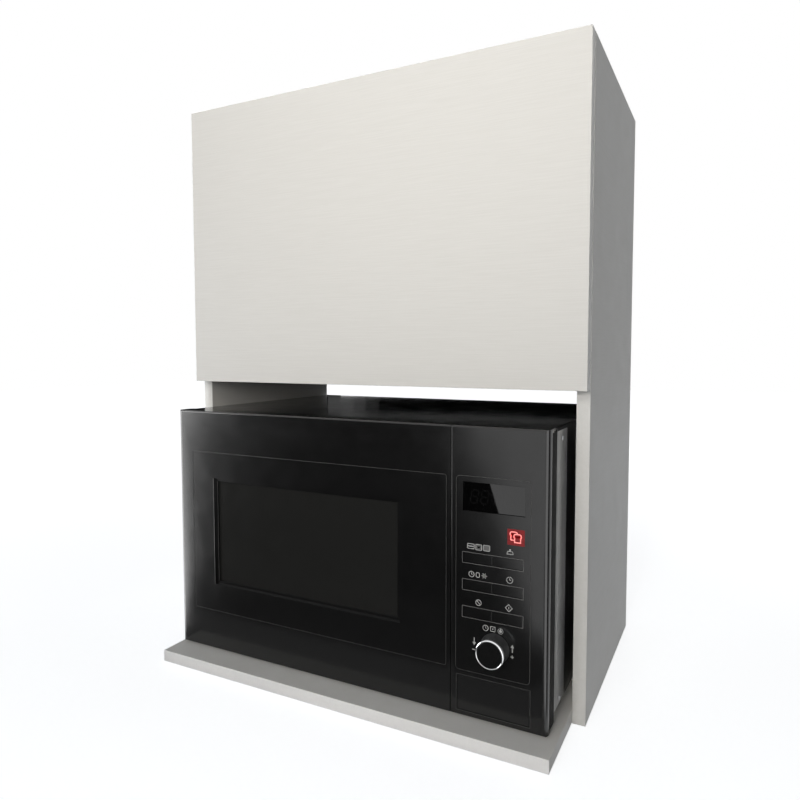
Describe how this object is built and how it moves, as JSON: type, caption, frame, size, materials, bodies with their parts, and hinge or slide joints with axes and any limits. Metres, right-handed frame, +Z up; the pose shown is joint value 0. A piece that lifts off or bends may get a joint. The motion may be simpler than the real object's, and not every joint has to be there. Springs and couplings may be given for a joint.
{
  "type": "microwave cabinet",
  "caption": "Kitchen wall cabinet with a lift-up flap over an open niche, whose long bottom shelf carries a pull-out microwave oven with door, controls and turntable.",
  "frame": {"origin": "on the plane that the cabinet stands on, under the middle of its whole footprint, from the front edge of the microwave shelf to the wall side", "axes": "+X to the right seen from the front, +Y towards the wall, +Z up"},
  "size_m": [0.6, 0.422, 0.81],
  "materials": {
    "flap_board": "off-white laminate with a very fine grain",
    "carcass_board": "off-white laminate, the same as the flap",
    "back_board": "white hardboard",
    "zinc_steel": "zinc plated",
    "grey_plastic": "moulded",
    "black_steel": "gloss black",
    "black_plastic": "satin black",
    "black_glass": "smoked, over a black surround",
    "cavity_enamel": "grey enamel",
    "clear_glass": "clear",
    "rubber": "black",
    "chrome": "polished",
    "nylon": "natural",
    "circuit_board": "solder mask",
    "core_steel": "varnished laminations and copper winding"
  },
  "bodies": {
    "cabinet": {"side_panel_left": "carcass_board", "side_panel_right": "carcass_board", "top_panel": "carcass_board", "compartment_floor": "carcass_board", "microwave_shelf": "carcass_board", "back_panel": "back_board", "wall_hanger_left": "zinc_steel", "wall_hanger_right": "zinc_steel", "hinge_arm_left": "zinc_steel", "hinge_arm_right": "zinc_steel", "lift_housing_left": "grey_plastic", "lift_housing_right": "grey_plastic"},
    "flap": {"flap_door": "flap_board", "hinge_cup_left": "zinc_steel", "hinge_cup_right": "zinc_steel", "flap_bracket_left": "zinc_steel", "flap_bracket_right": "zinc_steel"},
    "hinge_link_left": {"hinge_link_left": "zinc_steel"},
    "hinge_link_right": {"hinge_link_right": "zinc_steel"},
    "lift_lever_left": {"lift_lever_left": "zinc_steel"},
    "lift_lever_right": {"lift_lever_right": "zinc_steel"},
    "lift_link_left": {"lift_link_left": "zinc_steel"},
    "lift_link_right": {"lift_link_right": "zinc_steel"},
    "oven": {"oven_case": "black_steel", "oven_back_plate": "zinc_steel", "oven_base": "zinc_steel", "oven_foot_front_left": "rubber", "oven_foot_front_right": "rubber", "oven_foot_rear_left": "rubber", "oven_foot_rear_right": "rubber", "oven_cavity": "cavity_enamel", "door_hinge_upper": "zinc_steel", "door_hinge_lower": "zinc_steel", "interlock_frame": "nylon", "magnetron": "zinc_steel", "transformer": "core_steel", "fan_motor": "core_steel", "turntable_motor": "zinc_steel", "cord_gland": "rubber", "control_fascia": "black_plastic", "display_window": "black_glass", "control_board": "circuit_board"},
    "oven_door": {"door_frame": "black_plastic", "door_glass": "black_glass", "door_screen": "black_steel", "door_inner_cover": "black_plastic"},
    "latch": {"door_latch": "nylon"},
    "tray": {"glass_tray": "clear_glass", "tray_coupler": "nylon"},
    "roller_ring": {"roller_ring": "nylon"},
    "fan": {"fan_blade": "grey_plastic"},
    "key_upper_left": {"key_upper_left": "black_plastic"},
    "key_upper_right": {"key_upper_right": "black_plastic"},
    "key_middle_left": {"key_middle_left": "black_plastic"},
    "key_middle_right": {"key_middle_right": "black_plastic"},
    "key_lower_left": {"key_lower_left": "black_plastic"},
    "key_lower_right": {"key_lower_right": "black_plastic"},
    "knob": {"knob_body": "black_plastic", "knob_ring": "chrome"},
    "release_button": {"release_button": "black_plastic"}
  },
  "joints": [
    {"name": "flap_swing", "type": "hinge", "parent": "cabinet", "child": "flap", "pos_m": [0, -0.119, 0.806], "axis": [-1, 0, 0], "range_deg": [0, 90]},
    {"name": "hinge_link_left_turn", "type": "hinge", "parent": "cabinet", "child": "hinge_link_left", "pos_m": [-0.19, -0.103, 0.768], "axis": [1, 0, 0], "range_deg": [0, 23]},
    {"name": "lift_lever_left_turn", "type": "hinge", "parent": "cabinet", "child": "lift_lever_left", "pos_m": [-0.2666, -0.06, 0.76], "axis": [-1, 0, 0], "range_deg": [0, 90]},
    {"name": "lift_link_left_turn", "type": "hinge", "parent": "lift_lever_left", "child": "lift_link_left", "pos_m": [-0.2618, -0.035, 0.644], "axis": [1, 0, 0], "range_deg": [0, 90]},
    {"name": "hinge_link_right_turn", "type": "hinge", "parent": "cabinet", "child": "hinge_link_right", "pos_m": [0.19, -0.103, 0.768], "axis": [1, 0, 0], "range_deg": [0, 23]},
    {"name": "lift_lever_right_turn", "type": "hinge", "parent": "cabinet", "child": "lift_lever_right", "pos_m": [0.2666, -0.06, 0.76], "axis": [-1, 0, 0], "range_deg": [0, 90]},
    {"name": "lift_link_right_turn", "type": "hinge", "parent": "lift_lever_right", "child": "lift_link_right", "pos_m": [0.2618, -0.035, 0.644], "axis": [1, 0, 0], "range_deg": [0, 90]},
    {"name": "oven_slide", "type": "slide", "parent": "cabinet", "child": "oven", "axis": [0, -1, 0], "range_m": [0, 0.42]},
    {"name": "door_swing", "type": "hinge", "parent": "oven", "child": "oven_door", "pos_m": [-0.2725, -0.159, 0.19], "axis": [0, 0, -1], "range_deg": [0, 100]},
    {"name": "release_press", "type": "slide", "parent": "oven", "child": "release_button", "axis": [0, 1, 0], "range_m": [0, 0.005], "stiffness_N_per_m": 400, "springref_m": -0.005},
    {"name": "latch_lift", "type": "slide", "parent": "oven_door", "child": "latch", "axis": [0, 0, 1], "range_m": [0, 0.004]},
    {"name": "key_upper_left_press", "type": "slide", "parent": "oven", "child": "key_upper_left", "axis": [0, 1, 0], "range_m": [0, 0.001], "stiffness_N_per_m": 300, "springref_m": -0.003},
    {"name": "key_upper_right_press", "type": "slide", "parent": "oven", "child": "key_upper_right", "axis": [0, 1, 0], "range_m": [0, 0.001], "stiffness_N_per_m": 300, "springref_m": -0.003},
    {"name": "key_middle_left_press", "type": "slide", "parent": "oven", "child": "key_middle_left", "axis": [0, 1, 0], "range_m": [0, 0.001], "stiffness_N_per_m": 300, "springref_m": -0.003},
    {"name": "key_middle_right_press", "type": "slide", "parent": "oven", "child": "key_middle_right", "axis": [0, 1, 0], "range_m": [0, 0.001], "stiffness_N_per_m": 300, "springref_m": -0.003},
    {"name": "key_lower_left_press", "type": "slide", "parent": "oven", "child": "key_lower_left", "axis": [0, 1, 0], "range_m": [0, 0.001], "stiffness_N_per_m": 300, "springref_m": -0.003},
    {"name": "key_lower_right_press", "type": "slide", "parent": "oven", "child": "key_lower_right", "axis": [0, 1, 0], "range_m": [0, 0.001], "stiffness_N_per_m": 300, "springref_m": -0.003},
    {"name": "knob_turn", "type": "hinge", "parent": "oven", "child": "knob", "pos_m": [0.2105, -0.187, 0.1085], "axis": [0, -1, 0], "continuous": true},
    {"name": "tray_turn", "type": "hinge", "parent": "oven", "child": "tray", "pos_m": [-0.06, 0.016, 0.1], "axis": [0, 0, 1], "continuous": true},
    {"name": "ring_turn", "type": "hinge", "parent": "oven", "child": "roller_ring", "pos_m": [-0.06, 0.016, 0.091], "axis": [0, 0, 1], "continuous": true},
    {"name": "fan_turn", "type": "hinge", "parent": "oven", "child": "fan", "pos_m": [0.205, 0.18, 0.215], "axis": [0, 1, 0], "continuous": true}
  ],
  "couplings": [
    {"joint": "hinge_link_left_turn", "follows": "flap_swing", "ratio": 0.2555},
    {"joint": "lift_lever_left_turn", "follows": "flap_swing", "ratio": 1},
    {"joint": "lift_link_left_turn", "follows": "flap_swing", "ratio": 1},
    {"joint": "hinge_link_right_turn", "follows": "flap_swing", "ratio": 0.2555},
    {"joint": "lift_lever_right_turn", "follows": "flap_swing", "ratio": 1},
    {"joint": "lift_link_right_turn", "follows": "flap_swing", "ratio": 1},
    {"joint": "latch_lift", "follows": "release_press", "ratio": 0.8},
    {"joint": "ring_turn", "follows": "tray_turn", "ratio": 0.5}
  ]
}
